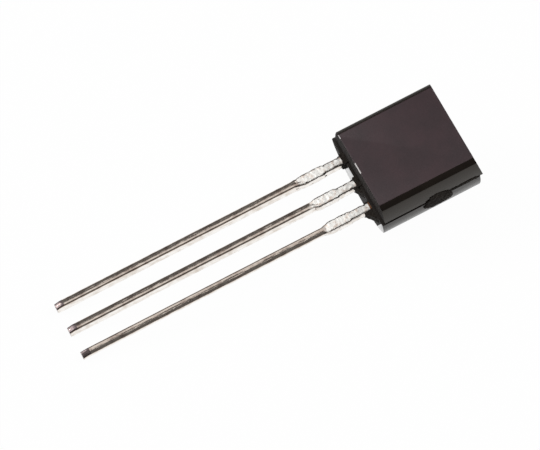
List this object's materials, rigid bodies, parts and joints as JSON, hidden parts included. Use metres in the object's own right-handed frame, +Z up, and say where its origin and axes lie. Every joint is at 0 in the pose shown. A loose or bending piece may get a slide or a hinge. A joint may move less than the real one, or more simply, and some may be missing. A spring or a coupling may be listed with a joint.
{
  "type": "to-92 transistor",
  "caption": "Small-signal transistor in a moulded half-round resin package with straight through-hole leads.",
  "frame": {"origin": "on the surface that the part lies on, under the middle of its length and width", "axes": "+Y from the lead tips towards the body, +X from lead 1 to lead 3 across the flat, +Z up"},
  "size_m": [0.0048, 0.019, 0.0043],
  "materials": {
    "epoxy_body": "matte moulded epoxy on the flat, glossier on the drafted sides and the back",
    "emitter_lead": "tin-plated copper, bright with dull mottling near the body",
    "base_lead": "tin-plated copper, bright with dull mottling near the body",
    "collector_lead": "tin-plated copper, with bare copper at the root's corner",
    "silicon_die": "polished silicon",
    "die_attach": "dull solder",
    "emitter_bond_wire": "bright gold",
    "base_bond_wire": "bright gold"
  },
  "bodies": {
    "root": {"epoxy_body": "epoxy_body", "emitter_lead": "emitter_lead", "base_lead": "base_lead", "collector_lead": "collector_lead", "silicon_die": "silicon_die", "die_attach": "die_attach", "emitter_bond_wire": "emitter_bond_wire", "base_bond_wire": "base_bond_wire"}
  },
  "joints": []
}
